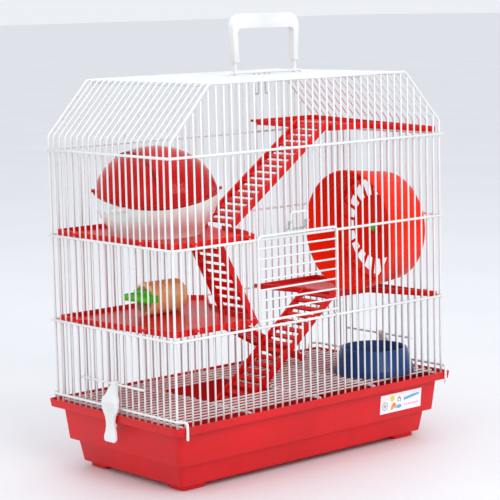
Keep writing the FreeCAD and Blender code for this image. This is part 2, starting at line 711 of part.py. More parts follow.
def bowl():
    z = GRILLE_TOP_Z
    r = BOWL_BASE_R
    top = z + BOWL_HEIGHT

    def at(radius, height):
        return (BOWL_X + radius, BOWL_Y, height)

    profile = (at(0, z + BOWL_FLOOR), at(BOWL_RIM_R - 12, z + BOWL_FLOOR), at(BOWL_RIM_R - 6, z + 10),
               at(BOWL_RIM_R - BOWL_WALL - 0.6, top), at(BOWL_RIM_R, top), at(BOWL_RIM_R + 1, top - 3),
               at(r - 1.2, z + 9), at(r - 0.4, z + 7.5), at(r, z), at(0, z))
    return revolved(profile, (BOWL_X, BOWL_Y, 0), Z_AXIS)


def lower_left_deck(y):
    """Top of the lower left deck at a place across the tilted shelf."""
    return LOWER_LEFT_Z + SHELF_DECK + math.tan(math.radians(LOWER_LEFT_TILT)) * y


def chew_log():
    z = lower_left_deck(LOG_Y) + LOG_R + 0.3
    log = rod((LOG_X[0], LOG_Y, z), (LOG_X[1], LOG_Y, z), LOG_R)
    return log.makeFillet(LOG_END_R, [e for e in log.Edges if e.Curve.TypeId == "Part::GeomCircle"])


def chew_comb():
    """Green plastic comb on the log's end: a plate, fins and a cross bar."""
    z = lower_left_deck(LOG_Y) + LOG_R + 4
    end = LOG_X[0]
    bar_x_place = end - 17
    bar_y = (LOG_Y - 32, LOG_Y + 13)
    plate = box((end - 2.5, end), (LOG_Y - 16, LOG_Y + 13), (z - 7, z + 7))
    bar = rod((bar_x_place, bar_y[0], z), (bar_x_place, bar_y[1], z), 3.5)
    bridge = box((end - 2.5, end - 0.3), (bar_y[0] + 3, LOG_Y - 10), (z - 2, z + 2))
    pitch = (bar_y[1] - bar_y[0] - 6) / 4
    fins = []
    for i in range(5):
        y = bar_y[0] + 3 + pitch * i
        fins.append(box((bar_x_place, end - 0.5), (y - 1.2, y + 1.2), (z - 4, z + 4)))
    return fuse([plate, bar, bridge] + fins)


# ---- clips ----
def clip_bar(side):
    x = side * CLIP_BAR_X
    return rod((x, -CLIP_BAR_HALF, CLIP_BAR_Z), (x, CLIP_BAR_HALF, CLIP_BAR_Z), CLIP_WIRE_R)


def clip(side):
    """Plastic clip: an eye on the clip bar, a broad ribbed body, a neck, a catch and a flared tail."""
    pivot_x = CLIP_BAR_X
    eye_r = CLIP_WIRE_R + HINGE_CLEAR + CLIP_WALL
    out_x = CLIP_OUT_X
    side_view = ((pivot_x - 0.5, CLIP_BAR_Z + 2.4), (pivot_x + eye_r - 0.4, CLIP_BAR_Z), (out_x + 3.2, 97.0),
                 (out_x + 3.6, 80.0), (out_x + 2.8, 62.0), (out_x + 4.5, CLIP_TAIL_Z),
                 (out_x + 1.9, CLIP_TAIL_Z), (out_x + 0.2, 62.0), (out_x + 0.6, 80.0),
                 (out_x + 0.4, 95.0), (pivot_x + 1.2, CLIP_BAR_Z - 3.8))
    ring = [V(x, 0, z) for x, z in side_view]
    strip = Part.Face(Part.makePolygon(ring + [ring[0]])).extrude(V(0, 40, 0))
    strip.translate(V(0, CLIP_Y - 20, 0))
    front_view = ((CLIP_EYE_HALF, CLIP_BAR_Z + 6), (CLIP_EYE_HALF, CLIP_BAR_Z - 0.5), (7, 108), (9, 103),
                  (13.5, 98), (14.5, 92), (13, 86), (8.5, 79),
                  (7, 73), (7.2, 67), (9.5, 59), (10.5, 55), (10, CLIP_TAIL_Z + 2), (7, CLIP_TAIL_Z - 1))
    right = [V(0, CLIP_Y + w, z) for w, z in front_view]
    left = [V(0, CLIP_Y - w, z) for w, z in reversed(front_view)]
    mask = Part.Face(Part.makePolygon(right + left + [right[0]])).extrude(V(300, 0, 0))
    body = strip.common(mask)
    eye = rod((pivot_x, CLIP_Y - CLIP_EYE_HALF, CLIP_BAR_Z), (pivot_x, CLIP_Y + CLIP_EYE_HALF, CLIP_BAR_Z),
              eye_r)
    wire_gap = rod((pivot_x, CLIP_Y - 30, CLIP_BAR_Z), (pivot_x, CLIP_Y + 30, CLIP_BAR_Z),
                   CLIP_WIRE_R + HINGE_CLEAR)
    rib_x = out_x + 3.5
    ribs = []
    for z in CLIP_RIB_Z:
        ribs.append(rod((rib_x, CLIP_Y - CLIP_RIB_HALF, z), (rib_x, CLIP_Y + CLIP_RIB_HALF, z), CLIP_RIB_R))
    catch_top = RIM_BOTTOM_Z - 1.8
    catch = box((out_x - 3.0, out_x + 1.5), (CLIP_Y - 5, CLIP_Y + 5), (catch_top - 3.5, catch_top))
    whole = fuse([body, eye, catch] + ribs).cut(wire_gap)
    if side < 0:
        whole = whole.mirror(V(0, 0, 0), X_AXIS)
    return whole


# ---- handle ----
def handle_rod():
    """Staple of wire on the middle roof bar; the handle's legs turn on it."""
    x0 = HANDLE_X[0] - ROD_OVER
    x1 = HANDLE_X[1] + ROD_OVER
    foot = ROOF_Z + BAR_R + WELD_GAP
    return bent_wire(((x0, 0, foot), (x0, 0, ROD_Z), (x1, 0, ROD_Z), (x1, 0, foot)), BELT_R, 2.0)


def handle():
    """Carrying handle: an arch whose two legs end in thin eyes on the rod."""
    x0, x1 = HANDLE_X
    half = HANDLE_DEPTH / 2
    grip_low = HANDLE_TOP_Z - HANDLE_BAR
    foot_in = LEG_TAPER + HANDLE_LEG - 1
    outline = ((x0 + LEG_TAPER, LEG_FOOT_Z), (x0, HANDLE_TOP_Z), (x1, HANDLE_TOP_Z),
               (x1 - LEG_TAPER, LEG_FOOT_Z), (x1 - foot_in, LEG_FOOT_Z), (x1 - HANDLE_LEG, grip_low),
               (x0 + HANDLE_LEG, grip_low), (x0 + foot_in, LEG_FOOT_Z))
    ring = [V(x, -half, z) for x, z in outline]
    arch = Part.Face(Part.makePolygon(ring + [ring[0]])).extrude(V(0, HANDLE_DEPTH, 0))
    for z, radius in ((HANDLE_TOP_Z, HANDLE_OUTER_R), (grip_low, HANDLE_INNER_R)):
        corners = [e for e in arch.Edges
                   if abs(e.BoundBox.YLength - HANDLE_DEPTH) < 0.01 and abs(e.CenterOfMass.z - z) < 0.01]
        arch = arch.makeFillet(radius, corners)
    pieces = [arch]
    for px in (x0 + LEG_TAPER + 1.5, x1 - LEG_TAPER - 1.5 - PEG_WIDTH):
        pieces.append(box((px, px + PEG_WIDTH), (-PEG_R, PEG_R), (ROD_Z, LEG_FOOT_Z + 1)))
        pieces.append(rod((px, 0, ROD_Z), (px + PEG_WIDTH, 0, ROD_Z), PEG_R))
    bore = rod((x0, 0, ROD_Z), (x1, 0, ROD_Z), BELT_R + RUNNING)
    return fuse(pieces).cut(bore)


def roof_hook():
    """Zinc wire with two loops that hang inside the roof."""
    y = bar_y(10.5)
    top = ROOF_Z + BAR_R + HOOK_WIRE_R
    low = ROOF_Z - HOOK_DROP
    loops = []
    for x in HOOK_X:
        path = ((x - 4, y, top), (x - 3, y, low), (x + 3, y, low), (x + 4, y, top))
        loops.append(bent_wire(path, HOOK_WIRE_R, 2.2))
    bridge_z = top + HOOK_WIRE_R + WELD_GAP
    bridge = rod((HOOK_X[0] - 6, y, bridge_z), (HOOK_X[1] + 6, y, bridge_z), HOOK_WIRE_R)
    return loops + [bridge]


# ---- the model ----
DOOR_BARS = range(DOOR_FIRST_BAR + 1, DOOR_LAST_BAR)

save("tray", [tray()])
save("tray_feet", feet())
save("tray_label", [label()])
save("floor_grille_wires", grille_wires())
save("floor_grille_cross_wires", grille_cross_wires())

save("front_bars", panel_bars(-HY, DOOR_BARS))
save("back_bars", panel_bars(HY, ()))
save("front_outline_wire", panel_outline(-1))
save("back_outline_wire", panel_outline(1))
for group_name, group in end_wrap().items():
    save(group_name, group)
save("front_belts", long_belts(-1))
save("back_belts", long_belts(1))
save("left_belts", end_belts(-1))
save("right_belts", end_belts(1))
save("roof_cross_wires", roof_cross_wires())
save("left_hold_down_wire", hold_down(-1))
save("right_hold_down_wire", hold_down(1))
save("left_clip_bar", [clip_bar(-1)])
save("right_clip_bar", [clip_bar(1)])
save("left_clip", [clip(-1)])
save("right_clip", [clip(1)])

save("door_frame", [door_frame()])
save("door_bars", door_bars())
save("door_latch", [latch()])
save("latch_spring_wire", [latch_guides()])

save("upper_left_shelf", [shelf(left_shelf_plan(), UPPER_LEFT_Z, left_tabs(), 0, UPPER_GATE)])
save("lower_left_shelf", [shelf(left_shelf_plan(), LOWER_LEFT_Z, left_tabs(), LOWER_LEFT_TILT,
                              LEFT_NOTCH, -SHELF_RIM)])
save("middle_right_shelf", [shelf(right_shelf_plan(), MID_RIGHT_Z, right_tabs(), 0)])
save("top_right_shelf", [shelf(right_shelf_plan(), TOP_RIGHT_Z, right_tabs(), TOP_RIGHT_TILT)])

top_lip = TOP_RIGHT_Z + SHELF_RIM + 1.2
mid_lip = MID_RIGHT_Z + SHELF_RIM + 0.1
save("upper_ladder", [ladder(*UPPER_LADDER, UPPER_LADDER_Y, (UPPER_LIP_X, (top_lip, top_lip + LIP)))])
save("left_ladder", [ladder(*LEFT_LADDER, LEFT_LADDER_Y, None)])
save("lower_ladder", [ladder(*LOWER_LADDER, LOWER_LADDER_Y, None)])
save("hatch_ladder", [ladder(*HATCH_LADDER, HATCH_LADDER_Y, (HATCH_LIP_X, (mid_lip, mid_lip + LIP)))])

save("wheel_drum", [wheel_drum()])
save("wheel_hub_cap", [hub_cap()])
save("wheel_axle", [wheel_axle()])
save("wheel_inner_plate", [wheel_plate(HX - BAR_R - 3.6, HX - BAR_R - 0.2, 9, 14)])
save("wheel_outer_plate", [wheel_plate(HX + BAR_R + 0.2, HX + BAR_R + 2.6, 9, 9)])

save("house_base", [house_base()])
save("house_lid", [house_lid()])
save("house_catch", [house_catch()])
save("food_bowl", [bowl()])
save("chew_log", [chew_log()])
save("chew_comb", [chew_comb()])

save("carry_handle", [handle()])
save("handle_rod", [handle_rod()])
save("roof_hook", roof_hook())
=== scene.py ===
import functools
import math
import random

import bmesh
import bpy
import numpy as np
from mathutils import Matrix, Vector
from mathutils.bvhtree import BVHTree


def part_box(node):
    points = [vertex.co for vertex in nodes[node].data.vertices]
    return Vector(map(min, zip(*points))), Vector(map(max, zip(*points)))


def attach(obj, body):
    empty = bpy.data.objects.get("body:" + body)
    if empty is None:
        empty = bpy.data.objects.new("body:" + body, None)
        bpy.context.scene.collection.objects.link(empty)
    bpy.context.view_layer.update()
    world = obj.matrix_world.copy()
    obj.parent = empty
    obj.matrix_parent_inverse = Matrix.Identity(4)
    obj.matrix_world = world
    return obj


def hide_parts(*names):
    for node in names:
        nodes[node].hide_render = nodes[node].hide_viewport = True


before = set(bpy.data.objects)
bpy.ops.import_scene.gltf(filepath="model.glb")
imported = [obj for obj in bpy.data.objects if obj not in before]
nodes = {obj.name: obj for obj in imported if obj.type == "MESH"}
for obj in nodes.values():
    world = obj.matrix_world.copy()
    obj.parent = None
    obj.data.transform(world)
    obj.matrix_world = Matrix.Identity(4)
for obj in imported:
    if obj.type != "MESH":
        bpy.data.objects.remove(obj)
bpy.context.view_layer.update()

MM = 0.001
rng = random.Random(11)


# ---------------------------------------------------------------- materials
class Shader:
    """A node material under construction, with short calls for the nodes used here."""

    def __init__(self, name):
        self.material = bpy.data.materials.new(name)
        self.material.use_nodes = True
        self.tree = self.material.node_tree
        self.bsdf = self.tree.nodes["Principled BSDF"]
        coords = self.tree.nodes.new("ShaderNodeTexCoord")
        self.place = coords.outputs["Object"]

    def node(self, kind, **settings):
        made = self.tree.nodes.new(kind)
        for key, value in settings.items():
            setattr(made, key, value)
        return made

    def link(self, output, target):
        self.tree.links.new(output, target)

    def stretched(self, scale, shift=(0, 0, 0)):
        """Object coordinates, moved and scaled along each axis."""
        mapping = self.node("ShaderNodeMapping")
        mapping.inputs["Location"].default_value = shift
        mapping.inputs["Scale"].default_value = scale
        self.link(self.place, mapping.inputs["Vector"])
        return mapping.outputs["Vector"]

    def noise(self, scale, detail, vector=None, distortion=0.0):
        made = self.node("ShaderNodeTexNoise")
        made.inputs["Scale"].default_value = scale
        made.inputs["Detail"].default_value = detail
        made.inputs["Distortion"].default_value = distortion
        self.link(vector or self.place, made.inputs["Vector"])
        return made.outputs["Fac"]

    def ramp(self, value, low, high, start=0.0, end=1.0):
        """Maps a value's span low..high onto start..end."""
        made = self.node("ShaderNodeMapRange")
        for key, number in (("From Min", low), ("From Max", high), ("To Min", start), ("To Max", end)):
            made.inputs[key].default_value = number
        self.link(value, made.inputs["Value"])
        return made.outputs["Result"]

    def mix(self, factor, first, second):
        made = self.node("ShaderNodeMix", data_type="RGBA")
        self.link(factor, made.inputs[0])
        for socket, colour in ((made.inputs[6], first), (made.inputs[7], second)):
            if isinstance(colour, tuple):
                socket.default_value = (*colour, 1.0)
            else:
                self.link(colour, socket)
        return made.outputs[2]

    def sum(self, first, second, weight):
        """first + second * weight"""
        made = self.node("ShaderNodeMath", operation="MULTIPLY_ADD")
        self.link(second, made.inputs[0])
        made.inputs[1].default_value = weight
        self.link(first, made.inputs[2])
        return made.outputs[0]

    def colour(self, output):
        self.link(output, self.bsdf.inputs["Base Color"])

    def rough(self, output):
        self.link(output, self.bsdf.inputs["Roughness"])

    def bump(self, height, distance):
        made = self.node("ShaderNodeBump")
        made.inputs["Distance"].default_value = distance
        self.link(height, made.inputs["Height"])
        self.link(made.outputs["Normal"], self.bsdf.inputs["Normal"])

    def set(self, **values):
        for key, value in values.items():
            self.bsdf.inputs[key.replace("_", " ")].default_value = value


def shade(colour, factor):
    return tuple(min(1.0, c * factor) for c in colour)


def moulded(name, colour, roughness, coat, grain, shine=0.38):
    """Moulded plastic: slightly uneven colour, flow marks, fine skin texture and hairline scuffs."""
    s = Shader(name)
    cloud = s.noise(14.0, 3.0)
    flow = s.noise(26.0, 5.0, s.stretched((1.0, 1.0, 0.25)), 0.6)
    tint = s.mix(s.ramp(cloud, 0.3, 0.7), shade(colour, 0.9), shade(colour, 1.08))
    s.colour(s.mix(s.ramp(flow, 0.55, 0.8, 0.0, 0.35), tint, shade(colour, 1.18)))
    scuff = s.noise(60.0, 6.0, s.stretched((1.0, 7.0, 1.3)), 0.4)
    skin = s.noise(1400.0, 2.0)
    s.rough(s.sum(s.ramp(cloud, 0.25, 0.75, roughness - 0.04, roughness + 0.06),
                  s.ramp(scuff, 0.6, 0.75), 0.14))
    s.bump(s.sum(s.ramp(cloud, 0.0, 1.0, 0.0, 0.6), skin, grain), 0.00012)
    s.set(Coat_Weight=coat, Coat_Roughness=0.12, IOR=1.46, Specular_IOR_Level=shine)
    return s.material


def coated_wire():
    """White powder coat: orange peel, painted shade (a faint grey) in the peel's hollows, a warmer
    patch here and there.
    """
    s = Shader("white powder coat")
    peel = s.noise(900.0, 3.0)
    patch = s.noise(22.0, 3.0)
    tint = s.mix(s.ramp(patch, 0.3, 0.7), (0.76, 0.81, 0.80), (0.84, 0.87, 0.86))
    # painted shade: the grey (0.66, 0.71, 0.70) darkens the orange peel's hollows, where the bump is
    # lowest
    s.colour(s.mix(s.ramp(peel, 0.25, 0.45, 0.5, 0.0), tint, (0.66, 0.71, 0.70)))
    s.rough(s.ramp(peel, 0.3, 0.7, 0.24, 0.4))
    s.bump(peel, 0.00015)
    s.set(Coat_Weight=0.35, Coat_Roughness=0.15)
    return s.material


def zinc():
    """Bright zinc plating with drawn lines and cloudy spangle."""
    s = Shader("zinc plate")
    spangle = s.noise(160.0, 5.0)
    drawn = s.noise(900.0, 2.0, s.stretched((0.15, 1.0, 1.0)))
    s.colour(s.mix(s.ramp(spangle, 0.35, 0.7), (0.5, 0.51, 0.52), (0.74, 0.75, 0.76)))
    s.rough(s.ramp(drawn, 0.3, 0.7, 0.22, 0.42))
    s.bump(drawn, 0.00008)
    s.set(Metallic=1.0)
    return s.material


def wood(centre):
    """Turned softwood: growth rings round the log's axis, long dark grain and duller patches."""
    s = Shader("turned wood")
    local = s.stretched((0.25, 1.0, 1.0), (-0.25 * centre.x, -centre.y, -centre.z))
    rings = s.node("ShaderNodeTexWave", wave_type="RINGS", rings_direction="X")
    for key, number in (("Scale", 110.0), ("Distortion", 7.0), ("Detail", 4.0), ("Detail Scale", 0.6)):
        rings.inputs[key].default_value = number
    s.link(local, rings.inputs["Vector"])
    grain = s.noise(420.0, 6.0, s.stretched((0.07, 1.0, 1.0)))
    patch = s.noise(30.0, 4.0)
    base = s.mix(s.ramp(rings.outputs["Fac"], 0.2, 0.9), (1.0, 0.86, 0.42), (0.95, 0.70, 0.27))
    base = s.mix(s.ramp(grain, 0.55, 0.75, 0.0, 0.55), base, (0.72, 0.42, 0.15))
    s.colour(s.mix(s.ramp(patch, 0.55, 0.8, 0.0, 0.35), base, (0.90, 0.70, 0.42)))
    s.rough(s.ramp(grain, 0.3, 0.8, 0.5, 0.72))
    s.bump(s.sum(grain, rings.outputs["Fac"], 0.4), 0.0003)
    return s.material


def end_grain(centre):
    """The log's cut ends: tight green-brown rings and dark pores."""
    s = Shader("end grain")
    rings = s.node("ShaderNodeTexWave", wave_type="RINGS", rings_direction="X")
    for key, number in (("Scale", 160.0), ("Distortion", 3.0), ("Detail", 3.0)):
        rings.inputs[key].default_value = number
    s.link(s.stretched((1.0, 1.0, 1.0), tuple(-centre)), rings.inputs["Vector"])
    pores = s.noise(1500.0, 3.0)
    base = s.mix(s.ramp(rings.outputs["Fac"], 0.2, 0.9), (0.52, 0.42, 0.20), (0.34, 0.27, 0.12))
    s.colour(s.mix(s.ramp(pores, 0.5, 0.75, 0.0, 0.7), base, (0.18, 0.13, 0.06)))
    s.rough(s.ramp(pores, 0.3, 0.7, 0.65, 0.85))
    s.bump(s.sum(rings.outputs["Fac"], pores, 0.8), 0.0004)
    return s.material


def printed(name, colour):
    """Printed vinyl: faint halftone mottle under a satin film."""
    s = Shader(name)
    dots = s.node("ShaderNodeTexVoronoi")
    dots.inputs["Scale"].default_value = 1500.0
    s.link(s.place, dots.inputs["Vector"])
    mottle = s.noise(120.0, 3.0)
    tint = s.mix(s.ramp(mottle, 0.3, 0.7), shade(colour, 0.94), shade(colour, 1.04))
    dotted = s.ramp(dots.outputs["Distance"], 0.1, 0.5, 0.25, 0.0)
    s.colour(s.mix(dotted, tint, shade(colour, 0.85)))
    s.rough(s.ramp(mottle, 0.3, 0.7, 0.26, 0.36))
    s.bump(mottle, 0.00005)
    s.set(Coat_Weight=0.2)
    return s.material


WIRE = coated_wire()
ZINC = zinc()
TRAY_RED = moulded("tray red", (0.66, 0.006, 0.010), 0.42, 0.0, 0.8)
SHELF_RED = moulded("shelf red", (0.74, 0.004, 0.003), 0.34, 0.05, 0.4, 0.25)
WHEEL_RED = moulded("wheel red", (0.97, 0.020, 0.002), 0.4, 0.0, 0.4, 0.15)
LID_RED = moulded("lid red", (0.54, 0.001, 0.001), 0.18, 0.05, 0.1, 0.2)
# painted shade: a dark red, far darker than the lid's own red, laid along the lid's crease
PAINTED_CREASE_SHADE = moulded("painted crease shade", (0.22, 0.001, 0.001), 0.2, 0.1, 0.1, 0.3)
IVORY = moulded("ivory", (0.80, 0.90, 0.86), 0.24, 0.25, 0.15)
WHITE = moulded("white plastic", (0.84, 0.86, 0.85), 0.32, 0.15, 0.4)
GREEN = moulded("green plastic", (0.09, 0.86, 0.01), 0.34, 0.0, 0.4, 0.25)
NAVY = moulded("navy plastic", (0.008, 0.052, 0.19), 0.28, 0.1, 0.5, 0.25)
PAPER = printed("print paper", (0.92, 0.92, 0.93))
PRINT_YELLOW = printed("print yellow", (0.90, 0.66, 0.06))
PRINT_BLUE = printed("print blue", (0.10, 0.45, 0.80))
PRINT_ORANGE = printed("print orange", (0.88, 0.30, 0.06))
PRINT_GREY = printed("print grey", (0.36, 0.40, 0.42))
PRINT_PINK = printed("print pink", (0.90, 0.28, 0.42))


# ---------------------------------------------------------------- mesh helpers
WELD_DISTANCE = 2e-6
FLAT_ANGLE = math.radians(0.6)
HARD_ANGLE = math.radians(28)
CAP_DEPTH = 0.1 * MM
STRAIGHT = 1e-3
SPAN_SHARE = 0.49
TUBE_DOME = 0.35
TUBE_END = 0.72


def mm(x, y, z):
    return Vector((x, y, z)) * MM


def piece(name, mesh, materials, body, replaced=(), sharp=32):
    """Makes one visible piece: shading, materials, its body and the nodes it stands for."""
    made = bpy.data.objects.new(name, mesh)
    bpy.context.scene.collection.objects.link(made)
    mesh.shade_smooth()
    mesh.set_sharp_from_angle(angle=math.radians(sharp))
    for material in materials:
        mesh.materials.append(material)
    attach(made, body)
    if replaced:
        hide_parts(*replaced)
    return made


def to_mesh(name, bm):
    """Turns a bmesh into a mesh, with its faces pointing outwards, and frees it."""
    bmesh.ops.recalc_face_normals(bm, faces=bm.faces)
    mesh = bpy.data.meshes.new(name)
    bm.to_mesh(mesh)
    bm.free()
    return mesh


def welded_copy(node):
    """The node's mesh as a bmesh with its split vertices joined again."""
    bm = bmesh.new()
    bm.from_mesh(nodes[node].data)
    bmesh.ops.remove_doubles(bm, verts=bm.verts, dist=WELD_DISTANCE)
    return bm


def softened(name, node, material, body, slot, width, segments=2):
    """The node's own shape with its hard edges rounded off; width is in mm."""
    bm = welded_copy(node)
    bmesh.ops.dissolve_limit(bm, angle_limit=FLAT_ANGLE, verts=bm.verts, edges=bm.edges)
    hard = [e for e in bm.edges if len(e.link_faces) == 2 and e.calc_face_angle(0) > HARD_ANGLE]
    bmesh.ops.bevel(bm, geom=hard, offset=width * MM, segments=segments, affect="EDGES", profile=0.6,
                    clamp_overlap=True)
    piece(name, to_mesh(name, bm), [material], body, (node,))


@functools.cache
def straight_axes(node):
    """(start, end, radius) of every straight round wire of a node, in the order of its faces."""
    bm = welded_copy(node)
    seen = set()
    found = []
    for first in bm.faces:
        if first in seen:
            continue
        seen.add(first)
        stack = [first]
        points = {}
        while stack:
            for edge in stack.pop().edges:
                for vert in edge.verts:
                    points[vert] = vert.co
                for other in edge.link_faces:
                    if other not in seen:
                        seen.add(other)
                        stack.append(other)
        cloud = np.array(list(points.values()))
        centre = cloud.mean(0)
        along = np.linalg.svd(cloud - centre, full_matrices=False)[2][0]
        if along[np.argmax(np.abs(along))] < 0:
            along = -along
        depth = (cloud - centre) @ along
        low = cloud[depth < depth.min() + CAP_DEPTH]
        high = cloud[depth > depth.max() - CAP_DEPTH]
        start = (low.min(0) + low.max(0)) / 2
        end = (high.min(0) + high.max(0)) / 2
        radius = np.linalg.norm(low - start, axis=1).max()
        found.append((Vector(start), Vector(end), float(radius)))
    bm.free()
    return found


def rounded(points, bend, steps=7):
    """The path with an arc of radius bend at each inner corner."""
    path = [points[0]]
    for before, at, after in zip(points, points[1:], points[2:]):
        into = (at - before).normalized()
        out = (after - at).normalized()
        turn = into.angle(out)
        if turn < STRAIGHT:
            path.append(at)
            continue
        room = SPAN_SHARE * min((at - before).length, (after - at).length)
        reach = min(bend * math.tan(turn / 2), room)
        radius = reach / math.tan(turn / 2)
        first = at - into * reach
        inward = (out - into).normalized()
        middle = at + inward * radius / math.cos(turn / 2)
        axis = into.cross(out).normalized()
        for i in range(steps + 1):
            spin = Matrix.Rotation(turn * i / steps, 3, axis)
            path.append(middle + spin @ (first - middle))
    path.append(points[-1])
    return path


def ring(bm, centre, normal, side, radius, steps):
    """A ring of new vertices round centre, in the plane of normal and side."""
    made = []
    for k in range(steps):
        a = 2 * math.pi * k / steps
        made.append(bm.verts.new(centre + (normal * math.cos(a) + side * math.sin(a)) * radius))
    return made


def bridge(bm, low, high):
    """Faces between two closed rings; a ring of one vertex is a pole."""
    count = max(len(low), len(high))
    for k in range(count):
        m = (k + 1) % count
        if len(low) == 1:
            bm.faces.new((low[0], high[m], high[k]))
        elif len(high) == 1:
            bm.faces.new((low[k], low[m], high[0]))
        else:
            bm.faces.new((low[k], low[m], high[m], high[k]))


def add_tube(bm, path, radius, sides):
    """Adds a round wire along the path; its ends are slightly domed, as cut and coated wire is."""
    tangent = (path[1] - path[0]).normalized()
    normal = tangent.orthogonal().normalized()
    last = path[-1]
    end_tangent = (last - path[-2]).normalized()
    dome = TUBE_DOME * radius
    stations = [(path[0], TUBE_END), (path[0] + tangent * dome, 1.0)]
    stations += [(p, 1.0) for p in path[1:-1]]
    stations += [(last - end_tangent * dome, 1.0), (last, TUBE_END)]
    rings = []
    for i, (centre, share) in enumerate(stations):
        after = stations[min(i + 1, len(stations) - 1)][0]
        before = stations[max(i - 1, 0)][0]
        heading = (after - before).normalized()
        turn = tangent.rotation_difference(heading)
        normal = (turn @ normal).normalized()
        tangent = heading
        rings.append(ring(bm, centre, normal, tangent.cross(normal), radius * share, sides))
    for low, high in zip(rings, rings[1:]):
        bridge(bm, low, high)
    bm.faces.new(list(reversed(rings[0])))
    bm.faces.new(rings[-1])


def wires(name, paths, body, replaced, material=WIRE, sides=10):
    """One piece of several wires, given as (path, radius)."""
    bm = bmesh.new()
    for path, radius in paths:
        add_tube(bm, path, radius, sides)
    piece(name, to_mesh(name, bm), [material], body, replaced, 50)


def straight_wires(name, node, body="cage", sides=10):
    """One piece of all the straight wires of a node."""
    wires(name, [([a, b], r) for a, b, r in straight_axes(node)], body, (node,), sides=sides)


def joined_path(spans, bend):
    """One bent path from straight spans in order: neighbouring spans are run on until they meet."""
    points = [spans[0][0]]
    for (a, b), (c, d) in zip(spans, spans[1:]):
        first = (b - a).normalized()
        second = (d - c).normalized()
        if first.angle(second) < STRAIGHT:
            points.append((b + c) / 2)
            continue
        gap = c - b
        across = first.cross(second)
        reach = gap.cross(second).dot(across) / across.length_squared
        points.append(b + first * reach)
    points.append(spans[-1][1])
    return rounded(points, bend)


def spin(bm, profile, centre, axis, steps, close=False):
    """Turns a profile of (along, radius) pairs round an axis through centre."""
    along = Vector(axis).normalized()
    normal = along.orthogonal().normalized()
    side = along.cross(normal)
    rings = []
    for distance, radius in profile:
        at = centre + along * distance
        rings.append(ring(bm, at, normal, side, radius, steps if radius else 1))
    pairs = list(zip(rings, rings[1:]))
    if close:
        pairs.append((rings[-1], rings[0]))
    for low, high in pairs:
        bridge(bm, low, high)


def soft_profile(points, radius, steps=4):
    """A profile of (a, b) pairs with every inner corner rounded."""
    path = rounded([Vector((a, b, 0)) for a, b in points], radius, steps)
    return [(p.x, p.y) for p in path]


def add_block(bm, low, high, edge, place):
    """Adds a box with rounded edges, moved by the matrix place."""
    made = bmesh.new()
    bmesh.ops.create_cube(made, size=1.0)
    stretch = Matrix.Diagonal((*(high - low), 1.0))
    bmesh.ops.transform(made, matrix=Matrix.Translation((low + high) / 2) @ stretch, verts=made.verts)
    bmesh.ops.bevel(made, geom=list(made.edges), offset=edge, segments=3, affect="EDGES", profile=0.5,
                    clamp_overlap=True)
    bmesh.ops.transform(made, matrix=place, verts=made.verts)
    spare = bpy.data.meshes.new("spare")
    made.to_mesh(spare)
    made.free()
    bm.from_mesh(spare)
    bpy.data.meshes.remove(spare)


# ---------------------------------------------------------------- wirework
BEND = 6 * MM
HOLD_DOWN_BEND = 4 * MM
UP = Vector((0, 0, 1))
RIGHT = Vector((1, 0, 0))
BACK = Vector((0, 1, 0))
PARALLEL = 1e-9
BEAD_GAP = 0.3 * MM
BEAD_LENGTH = 1.05
BEAD_HEIGHT = 0.55


def arch(spans, along, bend):
    """One bent wire that rises with the first span, follows along, and falls with the last."""
    runs = [sorted(spans[0][:2], key=UP.dot)]
    runs += [sorted(s[:2], key=along.dot) for s in spans[1:-1]]
    runs.append(sorted(spans[-1][:2], key=UP.dot, reverse=True))
    return joined_path(runs, bend), spans[0][2]


def outline_wire(name, node):
    """The five straight runs of a long panel's outline, joined into one bent wire."""
    spans = sorted(straight_axes(node), key=lambda s: s[0].x + s[1].x)
    wires(name, [arch(spans, RIGHT, BEND)], "cage", (node,), sides=14)


def wrapped_bars():
    """The bars that run up one end, over the roof and down the other end."""
    groups = ("left_end_bars", "left_slope_bars", "roof_bars", "right_slope_bars", "right_end_bars")
    found = [sorted(straight_axes(g), key=lambda s: s[0].y) for g in groups]
    wires("wrapped_bars", [arch(spans, RIGHT, BEND) for spans in zip(*found)], "cage", groups)


def hold_down_wire(name, node):
    """The wire across an end, with its two legs bent down over the rim."""
    spans = sorted(straight_axes(node), key=lambda s: s[0].y + s[1].y)
    wires(name, [arch(spans, BACK, HOLD_DOWN_BEND)], "cage", (node,), sides=12)


def bead_template():
    """Vertices and faces of a small unit sphere."""
    bm = bmesh.new()
    bmesh.ops.create_uvsphere(bm, u_segments=8, v_segments=6, radius=1.0)
    places = np.array([v.co for v in bm.verts])
    faces = [[v.index for v in f.verts] for f in bm.faces]
    bm.free()
    return places, faces


def bead(template, at, first, second, length, height):
    """One weld bead: a flat drop between two crossing wires."""
    up = first.cross(second).normalized()
    across = up.cross(first).normalized()
    axes = np.array([first.normalized(), across, up])
    size = np.array([length * rng.uniform(0.9, 1.15), length * rng.uniform(0.9, 1.15), height])
    return (template * size) @ axes + np.array(at)


def weld_beads(name, crossing_groups):
    """Beads wherever a wire of one group touches a wire of the other."""
    template, template_faces = bead_template()
    clouds = []
    faces = []
    for firsts, seconds in crossing_groups:
        for a, b, ra in firsts:
            for c, d, rb in seconds:
                along = b - a
                other = d - c
                normal = along.cross(other)
                if normal.length < PARALLEL:
                    continue
                gap = c - a
                s = gap.cross(other).dot(normal) / normal.length_squared
                t = gap.cross(along).dot(normal) / normal.length_squared
                if not (0.0 <= s <= 1.0 and 0.0 <= t <= 1.0):
                    continue
                p = a + along * s
                q = c + other * t
                if (p - q).length > ra + rb + BEAD_GAP:
                    continue
                at = p + (q - p) * ra / (ra + rb)
                offset = len(clouds) * len(template)
                thin = min(ra, rb)
                clouds.append(bead(template, at, along, other, thin * BEAD_LENGTH, thin * BEAD_HEIGHT))
                faces.extend([i + offset for i in f] for f in template_faces)
    mesh = bpy.data.meshes.new(name)
    mesh.from_pydata(np.concatenate(clouds).tolist(), [], faces)
    piece(name, mesh, [WIRE], "cage", (), 60)


